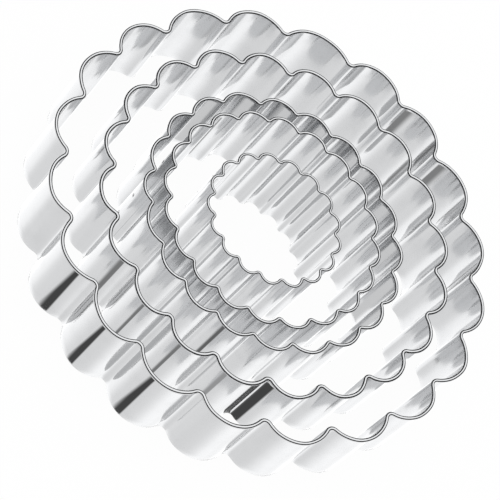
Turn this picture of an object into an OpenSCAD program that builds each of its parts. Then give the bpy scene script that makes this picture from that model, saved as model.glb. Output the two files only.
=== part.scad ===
// Set of five fluted biscuit cutters, nested one inside the other on their cutting edges.
// Each cutter is one stainless strip: its top edge is rolled outwards into a bead, the strip
// is pressed into flutes, bent round, and its two ends are lapped and spot welded.
// The origin is on the table at the centre of the largest cutter, with +Z up.

/* [Strip] */
// Thickness of the strip
strip_t = 0.25; // [0.2:0.05:0.3]
// Height of a cutter, from its cutting edge to the top of its rolled rim
cutter_h = 21; // [15:0.5:40]
// Gap between the curled edge of the roll and the wall below it
roll_clear = 0.08; // [0.06:0.01:0.12]
// Part of a flute that the lapped ends share
lap_share = 0.8; // [0.6:0.05:0.9]

/* [Largest cutter] */
// Radius from its centre to the inside bend of a fold
largest_r = 53; // [51:0.5:56]
// How far its flutes stand out from its folds
largest_depth = 4; // [3:0.1:5]
// Number of its flutes
largest_flutes = 20; // [18:1:22]
// Radius of the bend in each fold
largest_fold = 1.9; // [1.2:0.1:2.6]
// Diameter of its rolled rim
largest_rim = 0.95; // [0.8:0.05:1.1]
// Direction of its first fold
largest_turn = -1; // [-9:0.5:9]

/* [Large cutter] */
// Radius from its centre to the inside bend of a fold
large_r = 42.2; // [41:0.2:43]
// How far its flutes stand out from its folds
large_depth = 3.3; // [2.4:0.1:3.8]
// Number of its flutes
large_flutes = 20; // [18:1:22]
// Radius of the bend in each fold
large_fold = 1.6; // [1.1:0.1:2.2]
// Diameter of its rolled rim
large_rim = 0.95; // [0.8:0.05:1.1]
// Direction of its first fold
large_turn = -2; // [-9:0.5:9]
// Where its centre lies
large_place = [0.9, 0.4]; // [-1:0.1:1]

/* [Medium cutter] */
// Radius from its centre to the inside bend of a fold
medium_r = 31.6; // [31.2:0.1:33]
// How far its flutes stand out from its folds
medium_depth = 2; // [1.6:0.1:2.6]
// Number of its flutes
medium_flutes = 20; // [18:1:22]
// Radius of the bend in each fold
medium_fold = 1.1; // [0.9:0.1:1.5]
// Diameter of its rolled rim
medium_rim = 0.85; // [0.7:0.05:0.95]
// Direction of its first fold
medium_turn = 9.5; // [-10:0.5:10]
// Where its centre lies
medium_place = [0.5, -0.8]; // [-1:0.1:1]

/* [Small cutter] */
// Radius from its centre to the inside bend of a fold
small_r = 26.3; // [25:0.1:26.6]
// How far its flutes stand out from its folds
small_depth = 1.8; // [1.4:0.1:2]
// Number of its flutes
small_flutes = 20; // [18:1:22]
// Radius of the bend in each fold
small_fold = 1; // [0.9:0.1:1.2]
// Diameter of its rolled rim
small_rim = 0.8; // [0.7:0.05:0.85]
// Direction of its first fold
small_turn = 5; // [-10:0.5:10]
// Where its centre lies
small_place = [-0.3, -0.6]; // [-1:0.1:1]

/* [Smallest cutter] */
// Radius from its centre to the inside bend of a fold
smallest_r = 15.8; // [14:0.2:18]
// How far its flutes stand out from its folds
smallest_depth = 1.5; // [1.2:0.1:1.7]
// Number of its flutes
smallest_flutes = 17; // [15:1:18]
// Radius of the bend in each fold
smallest_fold = 1; // [0.8:0.05:1.1]
// Diameter of its rolled rim
smallest_rim = 0.7; // [0.65:0.05:0.8]
// Direction of its first fold
smallest_turn = 7; // [-10:0.5:10]
// Where its centre lies
smallest_place = [0.1, -0.7]; // [-1:0.1:1]

/* [Hidden] */
$fn = 96;

steel = [0.80, 0.81, 0.83];
rim_steel = [0.66, 0.67, 0.70];
weld_steel = [0.48, 0.47, 0.46];
// How far a weld stands proud of the sheet on each side
weld_proud = 0.06;
// How far a flute's round stands over the round of a fold, so that the two cross at one clear point
crossing = 0.004;
// How far the roll's stretch along a fold runs on into the stretches along the flutes
roll_overlap = 0.02;

// Folds that were knocked out of true: the fold's number, how far out and how far along
largest_knocks = [[19, -0.9, 0.7], [16, 0.5, -1.8], [15, 1.5, -0.7]];
large_knocks = [[17, -0.6, 0], [15, 1.1, 0], [6, 0.1, -0.6]];
medium_knocks = [[18, 0.5, 0.2], [2, 0, -0.5], [1, -0.2, 0.5]];

// A cutter is a list: radius, depth, flutes, fold, rim, turn, place, lapped flute, knocks
largest = [largest_r, largest_depth, largest_flutes, largest_fold, largest_rim,
    180 + largest_turn, [0, 0], 15, largest_knocks];
large = [large_r, large_depth, large_flutes, large_fold, large_rim,
    180 + large_turn, large_place, 14, large_knocks];
medium = [medium_r, medium_depth, medium_flutes, medium_fold, medium_rim,
    180 + medium_turn, medium_place, 1, medium_knocks];
small = [small_r, small_depth, small_flutes, small_fold, small_rim,
    180 + small_turn, small_place, 0, []];
smallest = [smallest_r, smallest_depth, smallest_flutes, smallest_fold, smallest_rim,
    -159 + smallest_turn, smallest_place, 15, []];

function valley_r(c) = c[0];
function depth(c) = c[1];
function flutes(c) = c[2];
function fold_r(c) = c[3];
function rim_d(c) = c[4];
function place(c) = c[6];
function lap_flute(c) = c[7];
function weld_d(c) = 0.5 * depth(c);
// Height of the middle of the rolled rim, where the wall turns into the roll
function roll_z(c) = cutter_h - rim_d(c) / 2;
// Angle of the roll that is left open, so that its curled edge ends clear of the wall
function roll_gap(c) = acos(1 - 2 * (strip_t + roll_clear) / rim_d(c));

// How far fold j was knocked out and along
function knock(c, j) = let (hits = [for (k = c[8]) if ((j - k[0]) % flutes(c) == 0) k])
    len(hits) > 0 ? [hits[0][1], hits[0][2]] : [0, 0];
// Centre of the bend in fold j, which lies outside the wall
function fold_at(c, j) = let (a = c[5] + 360 * j / flutes(c), k = knock(c, j))
    place(c) + (valley_r(c) + fold_r(c) + k.x) * [cos(a), sin(a)] + k.y * [-sin(a), cos(a)];
// Direction that flute j, between folds j and j + 1, stands out in
function flute_out(c, j) = let (d = fold_at(c, j + 1) - fold_at(c, j)) [d.y, -d.x] / norm(d);
// How far the crest of a flute lies from the line between the centres of its two folds
function lift(c) = valley_r(c) + depth(c) - (valley_r(c) + fold_r(c)) * cos(180 / flutes(c));
// How far the centre of the flute's round lies from that line, so that it meets both bends
function flute_shift(c, j) = let (half = norm(fold_at(c, j + 1) - fold_at(c, j)) / 2)
    ((lift(c) + fold_r(c))^2 - half^2) / (2 * (lift(c) + fold_r(c)));
function flute_r(c, j) = lift(c) - flute_shift(c, j);
function flute_at(c, j) = (fold_at(c, j) + fold_at(c, j + 1)) / 2
    + flute_shift(c, j) * flute_out(c, j);

function heading(from, to) = atan2(to.y - from.y, to.x - from.x);
// Angle to turn through, anticlockwise, from one heading to the next
function sweep(from, to) = to - from - 360 * floor((to - from) / 360);

// Area inside the wall's middle line, grown by an amount
module outline(c, grow) {
    last = flutes(c) - 1;
    difference() {
        union() {
            polygon([for (j = [0 : last]) each [fold_at(c, j), flute_at(c, j)]]);
            for (j = [0 : last])
                translate(flute_at(c, j)) circle(flute_r(c, j) + grow + crossing);
        }
        for (j = [0 : last]) translate(fold_at(c, j)) circle(fold_r(c) - grow);
    }
}

// Part of the lapped flute that the outer end of the strip covers
module lap_sector(c) {
    j = lap_flute(c);
    centre = flute_at(c, j);
    out = heading([0, 0], flute_out(c, j));
    half = lap_share * sweep(out, heading(centre, fold_at(c, j + 1)));
    reach = 3 * flute_r(c, j);
    polygon([centre, for (a = [-half, 0, half]) centre + reach * [cos(out + a), sin(out + a)]]);
}

// Spot welds through the lap, one above the other on the crest of the flute
module welds(c, proud) {
    j = lap_flute(c);
    inner = flute_r(c, j) - strip_t / 2 - proud;
    outer = flute_r(c, j) + 3 * strip_t / 2 + proud;
    for (share = [0.28, 0.68])
        translate([each flute_at(c, j), share * cutter_h])
            rotate([0, 90, heading([0, 0], flute_out(c, j))])
                translate([0, 0, inner]) cylinder(d = weld_d(c), h = outer - inner);
}

// Fluted wall of one cutter, with the outer end of the strip tucked under the roll
module band(c) {
    difference() {
        union() {
            linear_extrude(roll_z(c)) difference() {
                outline(c, strip_t / 2);
                outline(c, -strip_t / 2);
            }
            linear_extrude(cutter_h - rim_d(c) - strip_t / 2) difference() {
                intersection() {
                    outline(c, 3 * strip_t / 2);
                    lap_sector(c);
                }
                outline(c, 0);
            }
        }
        welds(c, 1);
    }
}

// Section of the roll: the strip's edge goes up, over and back under on the outer side
module roll_section(c, inset) {
    d = rim_d(c);
    end = 180 + roll_gap(c) + atan(2 * inset / d);
    difference() {
        circle(d = d - 2 * inset);
        circle(d = d - 2 * strip_t + 2 * inset);
        polygon([[0, 0], [-d, 0], [-d, -d], d * [cos(end), sin(end)]]);
    }
}

// One round stretch of the roll. Along a fold the section is mirrored, a hair thinner, and runs
// on into the stretches beside it
module roll_arc(c, centre, radius, from, to, inwards) {
    offset_out = (rim_d(c) - strip_t) / 2;
    extra = inwards ? atan(roll_overlap / radius) : 0;
    translate([each centre, roll_z(c)]) rotate([0, 0, from - extra])
        rotate_extrude(angle = sweep(from, to) + 2 * extra)
            translate([radius + (inwards ? -offset_out : offset_out), 0])
                mirror([inwards ? 1 : 0, 0]) roll_section(c, inwards ? crossing : 0);
}

// Rolled rim of one cutter, which follows every flute and fold of the wall
module rolled_rim(c) {
    for (j = [0 : flutes(c) - 1]) {
        flute = flute_at(c, j);
        fold = fold_at(c, j);
        roll_arc(c, flute, flute_r(c, j), heading(flute, fold),
            heading(flute, fold_at(c, j + 1)), false);
        roll_arc(c, fold, fold_r(c), heading(fold, flute),
            heading(fold, flute_at(c, j - 1)), true);
    }
}

module largest_band() { color(steel) band(largest); }
module largest_rolled_rim() { color(rim_steel) rolled_rim(largest); }
module largest_lap_welds() { color(weld_steel) welds(largest, weld_proud); }

module large_band() { color(steel) band(large); }
module large_rolled_rim() { color(rim_steel) rolled_rim(large); }
module large_lap_welds() { color(weld_steel) welds(large, weld_proud); }

module medium_band() { color(steel) band(medium); }
module medium_rolled_rim() { color(rim_steel) rolled_rim(medium); }
module medium_lap_welds() { color(weld_steel) welds(medium, weld_proud); }

module small_band() { color(steel) band(small); }
module small_rolled_rim() { color(rim_steel) rolled_rim(small); }
module small_lap_welds() { color(weld_steel) welds(small, weld_proud); }

module smallest_band() { color(steel) band(smallest); }
module smallest_rolled_rim() { color(rim_steel) rolled_rim(smallest); }
module smallest_lap_welds() { color(weld_steel) welds(smallest, weld_proud); }

largest_band();
largest_rolled_rim();
largest_lap_welds();
large_band();
large_rolled_rim();
large_lap_welds();
medium_band();
medium_rolled_rim();
medium_lap_welds();
small_band();
small_rolled_rim();
small_lap_welds();
smallest_band();
smallest_rolled_rim();
smallest_lap_welds();
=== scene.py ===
import math

import bmesh
import bpy
from mathutils import Matrix, Quaternion, Vector, noise


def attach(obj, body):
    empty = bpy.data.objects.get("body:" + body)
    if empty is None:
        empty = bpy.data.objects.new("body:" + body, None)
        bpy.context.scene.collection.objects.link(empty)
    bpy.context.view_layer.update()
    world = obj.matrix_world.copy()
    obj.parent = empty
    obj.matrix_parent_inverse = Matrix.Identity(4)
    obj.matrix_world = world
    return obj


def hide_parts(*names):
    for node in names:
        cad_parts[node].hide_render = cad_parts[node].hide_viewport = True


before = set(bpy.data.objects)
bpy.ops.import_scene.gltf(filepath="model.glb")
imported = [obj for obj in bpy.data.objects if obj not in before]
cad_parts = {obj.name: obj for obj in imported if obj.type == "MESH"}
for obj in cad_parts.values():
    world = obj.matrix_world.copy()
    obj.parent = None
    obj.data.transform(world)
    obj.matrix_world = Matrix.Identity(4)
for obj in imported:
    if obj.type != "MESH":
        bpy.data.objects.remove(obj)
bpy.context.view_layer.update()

scene = bpy.context.scene
MM = 0.001


# The photograph's view: from above the front of the set, with the camera turned about its own
# axis so that the cutters' upright direction points to the picture's upper right.
camera = bpy.data.objects.new("photo_camera", bpy.data.cameras.new("photo_camera"))
scene.collection.objects.link(camera)
scene.camera = camera
camera.location = Vector((0, -333.9, 414.5)) * MM
view_heading = math.radians(0.2)
view_tilt = math.radians(50.8)
view_roll = math.radians(45.6)
focal_px = 2200
frame_px = 500
camera.data.sensor_width = 36
camera.data.lens = focal_px / frame_px * camera.data.sensor_width
camera.data.clip_start = 10 * MM
looking = Vector((math.sin(view_heading) * math.cos(view_tilt),
                  math.cos(view_heading) * math.cos(view_tilt), -math.sin(view_tilt)))
camera.rotation_mode = "QUATERNION"
camera.rotation_quaternion = (looking.to_track_quat("-Z", "Y")
                              @ Quaternion((0, 0, 1), view_roll))


# The five strips of stainless steel, as the roller leaves them: how each cutter's wall runs
# round its flutes and folds. A fold bends inwards between two flutes, which bulge outwards.
strip_t = 0.25 * MM
cutter_h = 21 * MM


def turn_between(start, end):
    """Anticlockwise angle from one direction to another."""
    return (math.atan2(end.y, end.x) - math.atan2(start.y, start.x)) % math.tau


class Cutter:
    """One cutter's plan: round flutes that meet the bends of the folds smoothly.

    Sizes are in millimetres and directions in degrees. The valley is the wall's radius at the
    folds, the depth is how far the flutes stand out from it, fold is a bend's radius, and rim is
    the bead's thickness. The first fold lies in the direction first, and lap is the lapped
    flute. A knock moves one fold outwards and along.
    """

    def __init__(self, name, valley, depth, flutes, fold, rim, first, place, lap, knocks=()):
        self.name = name
        self.valley = valley * MM
        self.depth = depth * MM
        self.flutes = flutes
        self.fold = fold * MM
        self.rim = rim * MM
        self.first = math.radians(first)
        self.place = Vector(place) * MM
        self.lap = lap
        self.knocks = {j % flutes: Vector((out, along)) * MM for j, out, along in knocks}
        self.roll_z = cutter_h - self.rim / 2

    def fold_at(self, j):
        """Centre of the bend in fold j, outside the wall, where knocks have left it."""
        turn = self.first + math.tau * j / self.flutes
        out = Vector((math.cos(turn), math.sin(turn)))
        knock = self.knocks.get(j % self.flutes, Vector((0, 0)))
        return (self.place + (self.valley + self.fold + knock.x) * out
                + knock.y * out.orthogonal())

    def flute_out(self, j):
        """Direction in which flute j bulges."""
        across = self.fold_at(j + 1) - self.fold_at(j)
        return -across.orthogonal().normalized()

    def lift(self):
        """How far a flute's crest stands out from the line between its folds' centres."""
        inset = (self.valley + self.fold) * math.cos(math.pi / self.flutes)
        return self.valley + self.depth - inset

    def flute_shift(self, j):
        """How far the centre of flute j lies outside that line."""
        half = (self.fold_at(j + 1) - self.fold_at(j)).length / 2
        reach = self.lift() + self.fold
        return (reach ** 2 - half ** 2) / (2 * reach)

    def flute_r(self, j):
        """Radius of the wall's middle on flute j."""
        return self.lift() - self.flute_shift(j)

    def flute_at(self, j):
        """Centre of flute j."""
        middle = (self.fold_at(j) + self.fold_at(j + 1)) / 2
        return middle + self.flute_shift(j) * self.flute_out(j)

    def bends(self):
        """Every bend in turn, anticlockwise: its centre, its radius, its start and its turn."""
        for j in range(self.flutes):
            flute, fold = self.flute_at(j), self.fold_at(j + 1)
            start = self.fold_at(j) - flute
            yield flute, self.flute_r(j), start, turn_between(start, fold - flute)
            back = turn_between(self.flute_at(j + 1) - fold, flute - fold)
            yield fold, -self.fold, fold - flute, -back


largest = Cutter("largest", 53, 4, 20, 1.9, 0.95, 179, (0, 0), 15,
                 [(19, -0.9, 0.7), (16, 0.5, -1.8), (15, 1.5, -0.7)])
large = Cutter("large", 42.2, 3.3, 20, 1.6, 0.95, 178, (0.9, 0.4), 14,
               [(17, -0.6, 0), (15, 1.1, 0), (6, 0.1, -0.6)])
medium = Cutter("medium", 31.6, 2, 20, 1.1, 0.85, 189.5, (0.5, -0.8), 1,
                [(18, 0.5, 0.2), (2, 0, -0.5), (1, -0.2, 0.5)])
small = Cutter("small", 26.3, 1.8, 20, 1, 0.8, 185, (-0.3, -0.6), 0)
smallest = Cutter("smallest", 15.8, 1.5, 17, 1, 0.7, -152, (0.1, -0.7), 15)
cutters = [largest, large, medium, small, smallest]


# The polish on the steel. The strip was mirror-polished before it was rolled, so it shows the
# studio sharply along a flute's crest, through a fine grain and faint wipe marks.
class Number:
    """A number that changes over a surface. Sums with it add Math nodes to its finish."""

    def __init__(self, finish, socket):
        self.finish = finish
        self.socket = socket

    def maths(self, operation, *values):
        return self.finish.add("ShaderNodeMath", {"operation": operation}, values)

    def __add__(self, other):
        return self.maths("ADD", self, other)

    def __sub__(self, other):
        return self.maths("SUBTRACT", self, other)

    def __rsub__(self, other):
        return self.maths("SUBTRACT", other, self)

    def __mul__(self, other):
        return self.maths("MULTIPLY", self, other)

    def __truediv__(self, other):
        return self.maths("DIVIDE", self, other)

    __radd__ = __add__
    __rmul__ = __mul__

    def between(self, low, high):
        """Rises softly from 0 at one value to 1 at the other."""
        return self.finish.add("ShaderNodeMapRange", {"interpolation_type": "SMOOTHSTEP"},
                               {"Value": self, "From Min": low, "From Max": high})


class Finish:
    """The nodes of one material or world, all added through one method."""

    def __init__(self, owner):
        owner.use_nodes = True
        self.owner = owner
        self.tree = owner.node_tree
        self.tree.nodes.clear()

    def add(self, kind, settings=None, values=(), output=0):
        """Adds a node: first its settings, or a ramp's stops, then its sockets' values or links."""
        node = self.tree.nodes.new(kind)
        for key, value in (settings or {}).items():
            if key == "stops":
                ramp = node.color_ramp.elements
                while len(ramp) < len(value):
                    ramp.new(0.5)
                for stop, (place, tone) in zip(ramp, value):
                    stop.position = place
                    stop.color = (tone, tone, tone, 1)
            else:
                setattr(node, key, value)
        pairs = values.items() if isinstance(values, dict) else enumerate(values)
        for key, value in pairs:
            if isinstance(value, Number):
                self.tree.links.new(value.socket, node.inputs[key])
            else:
                node.inputs[key].default_value = value
        return Number(self, node.outputs[output]) if node.outputs else node


grain_per_m = (120, 120, 900)
wipe_marks_per_m = 160
wiped_between = (0.45, 0.75)
wiped_shade = 0.93
quarter_turn = 0.25


def polished(name, colour, roughness, brushed=0.0):
    """Mirror-polished steel. Brushed, from 0 to 1, draws its reflections out in one direction."""
    material = bpy.data.materials.new(name)
    steel = Finish(material)
    place = steel.add("ShaderNodeTexCoord", output="Object")
    drawn = steel.add("ShaderNodeMapping", {}, {"Vector": place, "Scale": grain_per_m})
    grain = steel.add("ShaderNodeTexNoise", {}, {"Vector": drawn, "Scale": 1, "Detail": 1})
    wiped = steel.add("ShaderNodeTexNoise", {},
                      {"Vector": place, "Scale": wipe_marks_per_m, "Detail": 3})
    smear = wiped.between(*wiped_between)
    wiped_colour = [part * wiped_shade for part in colour]
    tone = steel.add("ShaderNodeMix", {"data_type": "RGBA"},
                     {"Factor": smear * 0.5 + grain * 0.15, "A": (*colour, 1),
                      "B": (*wiped_colour, 1)}, output="Result")
    shader = steel.add("ShaderNodeBsdfPrincipled", {},
                       {"Base Color": tone, "Metallic": 1.0,
                        "Roughness": smear * 0.03 + grain * 0.02 + roughness,
                        "Anisotropic": brushed, "Anisotropic Rotation": quarter_turn})
    steel.add("ShaderNodeOutputMaterial", {}, {"Surface": shader})
    return material


# The walls: the strip stands on its plain cutting edge and bends round every flute and fold.
# Its ends are lapped on one flute, with the outer end lying on the inner one.
strip_steel = polished("polished_strip", (0.58, 0.585, 0.593), 0.1, brushed=0.8)
edge_round = 0.06 * MM
wall_rows = 10
bend_step = math.radians(4)
lap_share = 0.8
lap_steps = 24
merge_gap = 0.0005 * MM
sharp_angle = math.radians(40)

# The press waves' lengths and depths, as shares of a flute's radius. They run nearly upright, and
# the seed makes them the same each time.
press_sizes = ((0.5, 0.012), (1.1, 0.03))
press_slant = 0.04
press_seed = 6
noise.seed_set(press_seed)


def append(whole, part):
    """Moves one mesh into another."""
    carrier = bpy.data.meshes.new("carrier")
    part.to_mesh(carrier)
    part.free()
    whole.from_mesh(carrier)
    bpy.data.meshes.remove(carrier)


def carry_round(cutter, add_section):
    """Spins a section round each bend of a cutter in turn, and joins the stretches."""
    whole = bmesh.new()
    for centre, radius, start, turn in cutter.bends():
        stretch = bmesh.new()
        add_section(stretch)
        place = (Matrix.Translation((centre.x, centre.y, 0))
                 @ Matrix.Rotation(math.atan2(start.y, start.x), 4, "Z")
                 @ Matrix.Translation((radius, 0, 0)))
        bmesh.ops.transform(stretch, matrix=place, verts=stretch.verts)
        bmesh.ops.spin(stretch, geom=stretch.verts[:] + stretch.edges[:],
                       cent=(centre.x, centre.y, 0), axis=(0, 0, 1), angle=turn,
                       steps=max(2, math.ceil(abs(turn) / bend_step)), use_duplicate=False)
        append(whole, stretch)
    return whole


def sheet_section(mesh, top, offset):
    """The strip's section, standing on a cutting edge with rounded corners."""
    inner, outer = offset - strip_t / 2, offset + strip_t / 2
    corner = mesh.verts.new((inner, 0, edge_round))
    rounded = bmesh.ops.spin(mesh, geom=[corner], cent=(inner + edge_round, 0, edge_round),
                             axis=(0, 1, 0), angle=-math.pi / 2, steps=2, use_duplicate=False)
    foot = mesh.verts.new((outer - edge_round, 0, 0))
    mesh.edges.new((rounded["geom_last"][0], foot))
    rounded = bmesh.ops.spin(mesh, geom=[foot], cent=(outer - edge_round, 0, edge_round),
                             axis=(0, 1, 0), angle=-math.pi / 2, steps=2, use_duplicate=False)
    top_inner = mesh.verts.new((inner, 0, top))
    top_outer = mesh.verts.new((outer, 0, top))
    sides = [mesh.edges.new((corner, top_inner)),
             mesh.edges.new((rounded["geom_last"][0], top_outer))]
    mesh.edges.new((top_inner, top_outer))
    bmesh.ops.subdivide_edges(mesh, edges=sides, cuts=wall_rows)


def lap_sheet(cutter):
    """The outer end of the strip, tucked under the roll on the lapped flute."""
    sheet = bmesh.new()
    sheet_section(sheet, cutter_h - cutter.rim - strip_t / 2, strip_t)
    centre = cutter.flute_at(cutter.lap)
    out = cutter.flute_out(cutter.lap)
    to_fold = cutter.fold_at(cutter.lap + 1) - centre
    half = lap_share * turn_between(out, to_fold)
    place = (Matrix.Translation((centre.x, centre.y, 0))
             @ Matrix.Rotation(math.atan2(out.y, out.x) - half, 4, "Z")
             @ Matrix.Translation((cutter.flute_r(cutter.lap), 0, 0)))
    bmesh.ops.transform(sheet, matrix=place, verts=sheet.verts)
    bmesh.ops.spin(sheet, geom=sheet.verts[:] + sheet.edges[:], cent=(centre.x, centre.y, 0),
                   axis=(0, 0, 1), angle=2 * half, steps=lap_steps, use_duplicate=False)
    open_edges = [edge for edge in sheet.edges if edge.is_boundary]
    bmesh.ops.holes_fill(sheet, edges=open_edges, sides=0)
    return sheet


def press_waves(mesh, cutter):
    """Leaves the wall slightly uneven along its length, as the flute rollers press it."""
    for share, depth in press_sizes:
        length = share * cutter.flute_r(0)
        for vertex in mesh.verts:
            spot = Vector((vertex.co.x, vertex.co.y, press_slant * vertex.co.z)) / length
            shift = noise.noise_vector(spot) * depth * cutter.flute_r(0)
            vertex.co += Vector((shift.x, shift.y, 0))


def finish_piece(mesh, name, material, node, body):
    """Makes a closed mesh into a piece that rides on its cutter and stands for its node."""
    bmesh.ops.remove_doubles(mesh, verts=mesh.verts, dist=merge_gap)
    bmesh.ops.recalc_face_normals(mesh, faces=mesh.faces)
    for face in mesh.faces:
        face.smooth = True
    data = bpy.data.meshes.new(name)
    mesh.to_mesh(data)
    mesh.free()
    data.set_sharp_from_angle(angle=sharp_angle)
    data.materials.append(material)
    piece = bpy.data.objects.new(name, data)
    scene.collection.objects.link(piece)
    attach(piece, body)
    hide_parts(node)


for cutter in cutters:
    wall = carry_round(cutter, lambda mesh: sheet_section(mesh, cutter.roll_z, 0))
    append(wall, lap_sheet(cutter))
    press_waves(wall, cutter)
    finish_piece(wall, cutter.name + "_wall", strip_steel, cutter.name + "_band",
                 cutter.name + "_cutter")


# The rolled rims: the strip's top edge is curled outwards and under into a thin bead, which
# stiffens the cutter and is kind to the hand. It is the same strip as the wall below it.
rim_steel = polished("rolled_rim", (0.52, 0.525, 0.532), 0.04)
roll_clear = 0.08 * MM
roll_step = math.radians(14)


def roll_section(mesh, cutter):
    """The curled edge: an open ring of strip, outwards from the wall's inner side."""
    middle = (cutter.rim - strip_t) / 2
    roll_gap = math.acos(1 - 2 * (strip_t + roll_clear) / cutter.rim)
    curl = math.tau - roll_gap
    ends = []
    for radius in (cutter.rim / 2, cutter.rim / 2 - strip_t):
        start = mesh.verts.new((middle - radius, 0, cutter.roll_z))
        spun = bmesh.ops.spin(mesh, geom=[start], cent=(middle, 0, cutter.roll_z),
                              axis=(0, 1, 0), angle=curl, steps=round(curl / roll_step),
                              use_duplicate=False)
        ends.append((start, spun["geom_last"][0]))
    for outer, inner in zip(*ends):
        mesh.edges.new((outer, inner))


for cutter in cutters:
    roll = carry_round(cutter, lambda mesh: roll_section(mesh, cutter))
    press_waves(roll, cutter)
    finish_piece(roll, cutter.name + "_rim", rim_steel, cutter.name + "_rolled_rim",
                 cutter.name + "_cutter")


# The spot welds: two through the lapped ends of each cutter. The electrode leaves a shallow
# round dent with a matt rim on the outside. The inside was polished flush.
weld_steel = polished("spot_weld", (0.52, 0.52, 0.53), 0.3)
weld_places = (0.28, 0.68)
weld_share = 0.25
weld_steps = 24

# A dent from its middle to its rim and back below it: share of its radius, and height in mm.
weld_profile = [(0, 0.02), (0.5, 0.02), (0.75, 0.06), (0.92, 0.04), (1, -0.01), (0.9, -0.06),
                (0, -0.06)]


def weld_spots(cutter):
    """Two turned dents, one above the other, that face out of the crest of the lapped flute."""
    spots = bmesh.new()
    centre = cutter.flute_at(cutter.lap)
    out = cutter.flute_out(cutter.lap)
    lap_face = cutter.flute_r(cutter.lap) + 1.5 * strip_t
    for share in weld_places:
        spot = bmesh.new()
        row = [spot.verts.new((weld_share * cutter.depth * reach, 0, lift * MM))
               for reach, lift in weld_profile]
        path = [spot.edges.new(pair) for pair in zip(row, row[1:])]
        bmesh.ops.spin(spot, geom=row + path, cent=(0, 0, 0), axis=(0, 0, 1),
                       angle=math.tau, steps=weld_steps, use_merge=True, use_duplicate=False)
        place = (Matrix.Translation((centre.x, centre.y, share * cutter_h))
                 @ Matrix.Rotation(math.atan2(out.y, out.x), 4, "Z")
                 @ Matrix.Translation((lap_face, 0, 0)) @ Matrix.Rotation(math.pi / 2, 4, "Y"))
        bmesh.ops.transform(spot, matrix=place, verts=spot.verts)
        append(spots, spot)
    return spots


for cutter in cutters:
    spots = weld_spots(cutter)
    press_waves(spots, cutter)
    finish_piece(spots, cutter.name + "_welds", weld_steel, cutter.name + "_lap_welds",
                 cutter.name + "_cutter")


# The table: matt white paper that the set stands on. The camera sees it almost pure white, with
# a trace of shadow, and the steel mirrors the studio's tones in its place.
scene.view_settings.view_transform = "Standard"
table_half = 1500 * MM
table_gap = 0.05 * MM
washed_out = 0.97
table_mesh = bmesh.new()
bmesh.ops.create_grid(table_mesh, x_segments=1, y_segments=1, size=table_half)
table_data = bpy.data.meshes.new("table")
table_mesh.to_mesh(table_data)
table_mesh.free()
table = bpy.data.objects.new("table", table_data)
scene.collection.objects.link(table)
table.location.z = -table_gap
table.visible_glossy = False
table_white = Finish(bpy.data.materials.new("table_white"))
seen = table_white.add("ShaderNodeLightPath", output="Is Camera Ray")
paper = table_white.add("ShaderNodeBsdfDiffuse", {}, {"Color": (0.95, 0.95, 0.95, 1)})
glow = table_white.add("ShaderNodeEmission", {}, {"Color": (1, 1, 1, 1), "Strength": 1.0})
lit = table_white.add("ShaderNodeMixShader", {}, {0: seen * washed_out, 1: paper, 2: glow})
table_white.add("ShaderNodeOutputMaterial", {}, {"Surface": lit})
table_data.materials.append(table_white.owner)


# The cards are painted reflections: small sheets that glow in one grey tone, each stood just ahead
# of one flute, where only the steel sees it. They draw dark strips of painted shade on single
# flutes, and a painted bright reflection that lightens the gap round the small cutter.
card_drop = 1 * MM
card_foot = -1
soft_edge = 0.5
sharp_edge = 0.85
outside = 1
inside = -1


def mirrored_ahead(cutter, flute, side, facing, height):
    """The spot just ahead of a flute's wall that the camera sees mirrored at a height of it."""
    out = Vector((math.cos(math.radians(facing)), math.sin(math.radians(facing)), 0))
    middle = cutter.flute_at(flute)
    spot = (Vector((middle.x, middle.y, height * MM))
            + (cutter.flute_r(flute) + side * strip_t / 2) * out)
    ray = (spot - camera.location).reflect(out)
    return spot + ray * card_drop / -ray.z


def stand_reflection_card(cutter, flute, side, at_foot, at_top, top, tone):
    """A painted reflection: a card glowing in one tone, with a soft fade along its first upright
    edge and a sharp second one.
    """
    name = "%s_flute_%d_%s" % (cutter.name, flute, "card" if side == outside else "inner_card")
    card_mesh = bmesh.new()
    corners = ((at_foot[0], card_foot), (at_foot[1], card_foot), (at_top[1], top),
               (at_top[0], top))
    sheet = card_mesh.faces.new([
        card_mesh.verts.new(mirrored_ahead(cutter, flute, side, facing, height))
        for facing, height in corners])
    spread = card_mesh.loops.layers.uv.new("spread")
    for loop, place in zip(sheet.loops, ((0, 0), (1, 0), (1, 1), (0, 1))):
        loop[spread].uv = place
    card_data = bpy.data.meshes.new(name)
    card_mesh.to_mesh(card_data)
    card_mesh.free()
    paint = Finish(bpy.data.materials.new(name))
    on_card = paint.add("ShaderNodeTexCoord", output="UV")
    across = paint.add("ShaderNodeSeparateXYZ", {}, [on_card], output="X")
    cover = across.between(0, soft_edge) * (1 - across.between(sharp_edge, 1))
    clear = paint.add("ShaderNodeBsdfTransparent", {}, {"Color": (1, 1, 1, 1)})
    grey = paint.add("ShaderNodeEmission", {}, {"Color": (1, 1, 1, 1), "Strength": tone})
    faded = paint.add("ShaderNodeMixShader", {}, {0: cover, 1: clear, 2: grey})
    paint.add("ShaderNodeOutputMaterial", {}, {"Surface": faded})
    card_data.materials.append(paint.owner)
    card = bpy.data.objects.new(name, card_data)
    scene.collection.objects.link(card)
    card.visible_camera = False
    card.visible_diffuse = False
    card.visible_shadow = False
    card.visible_transmission = False
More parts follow.
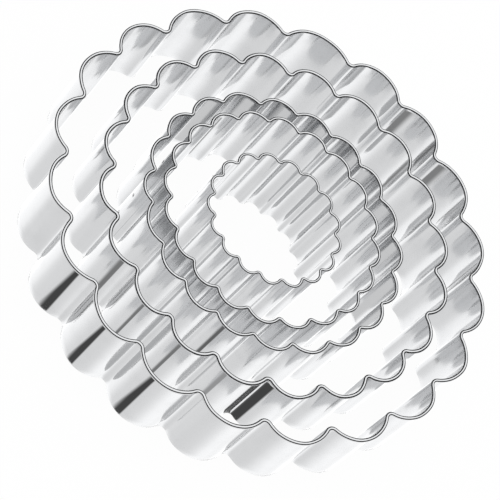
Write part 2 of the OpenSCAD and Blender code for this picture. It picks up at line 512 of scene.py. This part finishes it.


# Painted shade outside, as dark reflections: the cutter and its flute, the directions that the wall
# faces where it shows the card's two edges at its foot and at its top, how high it shows them in
# mm, and the tone.
outer_shade_cards = [(largest, 3, (-101, -79), (-93, -79), 20.5, 0.09),
               (largest, 4, (-110, -91), (-102, -91), 20.5, 0.09),
               (largest, 5, (-109, -88), (-101, -88), 20.5, 0.09),
               (large, 3, (-92, -76), (-92, -76), 20, 0.3),
               (large, 4, (-98, -89), (-98, -89), 20, 0.3),
               (large, 5, (-99, -88), (-99, -88), 20, 0.3),
               (large, 6, (-97, -84), (-97, -84), 20, 0.5),
               (large, 7, (-122, -91), (-122, -91), 19.5, 0.09),
               (medium, 5, (-99, -86), (-99, -86), 20, 0.2)]
for cutter, flute, at_foot, at_top, top, tone in outer_shade_cards:
    stand_reflection_card(cutter, flute, outside, at_foot, at_top, top, tone)

# Painted shade inside, as dark reflections where a strip fades in along the flute and ends at the
# fold: the cutter and its flute, and the directions that the wall bulges in where it shows the
# card's two edges.
inner_top = 20
inner_shade_tone = 0.35
inner_shade_cards = [(largest, 0, 155, 172), (largest, 1, 157, 176), (largest, 8, 16, 3),
               (largest, 12, 23, 13), (largest, 13, 97, 119), (largest, 14, 104, 130),
               (large, 0, 155, 170), (large, 8, 19, 7), (large, 9, 29, 6), (large, 10, 29, 12),
               (large, 14, 45, 33), (large, 19, 145, 164), (small, 18, 147, 160),
               (smallest, 14, 138, 154), (smallest, 15, 138, 156), (smallest, 16, 138, 157)]
for cutter, flute, *edges in inner_shade_cards:
    stand_reflection_card(cutter, flute, inside, edges, edges, inner_top, inner_shade_tone)

# Painted bright reflections inside the medium cutter, on the part of each flute that the camera
# sees into.
bright_reflection_tone = 0.95
bright_from = 8
bright_to = 48
for flute in range(medium.flutes):
    out = medium.flute_out(flute)
    ahead = math.degrees(math.atan2(out.y, out.x))
    turned = 1 if ahead < 90 else -1
    edges = (ahead + bright_from * turned, ahead + bright_to * turned)
    if 0 < ahead < 180:
        stand_reflection_card(medium, flute, inside, edges, edges, inner_top, bright_reflection_tone)


# The studio: plain white light from all round. In place of the table and the room, the steel
# mirrors pale table tones that change with the direction, a dark room that starts a little below
# the horizon, and a white softbox overhead that reaches further down at the back.
studio_level = 1.6
room_tone = 0.02
softbox_lean = 0.14

# Where the room and the softbox start: the sine of the angle above the horizon.
room_starts = (math.sin(math.radians(-9)), math.sin(math.radians(-4)))
softbox_starts = (0.715, 0.76)

# The table's tone in each direction, in degrees anticlockwise from the right.
table_tones = [(0, 0.97), (15, 0.9), (36, 0.87), (54, 0.93), (108, 0.95), (171, 0.94),
               (189, 0.91), (198, 0.86), (207, 0.79), (216, 0.74), (226, 0.71), (243, 0.71),
               (261, 0.69), (285, 0.69), (303, 0.72), (318, 0.8), (330, 0.88), (345, 0.96)]
studio = bpy.data.worlds.new("studio")
scene.world = studio
sky = Finish(studio)
mirrored = sky.add("ShaderNodeLightPath", output="Is Glossy Ray")
direction = sky.add("ShaderNodeTexCoord", output="Generated")
rightward = sky.add("ShaderNodeSeparateXYZ", {}, [direction], output="X")
backward = sky.add("ShaderNodeSeparateXYZ", {}, [direction], output="Y")
upward = sky.add("ShaderNodeSeparateXYZ", {}, [direction], output="Z")
bearing = rightward.maths("ARCTAN2", backward, rightward) / math.tau
around = bearing.maths("FRACT", bearing + 1)
ground = sky.add("ShaderNodeValToRGB",
                 {"stops": [(degrees / 360, tone) for degrees, tone in table_tones]},
                 [around], output="Color")
softbox = (upward + backward * softbox_lean).between(*softbox_starts)
above = upward.between(*room_starts)
upper = softbox * (1 - room_tone) + room_tone
seen_in_steel = ground * (1 - above) + upper * above
level = 1 - mirrored + seen_in_steel * mirrored * studio_level
lights = sky.add("ShaderNodeBackground", {}, {"Color": (1, 1, 1, 1), "Strength": level})
sky.add("ShaderNodeOutputWorld", {}, {"Surface": lights})
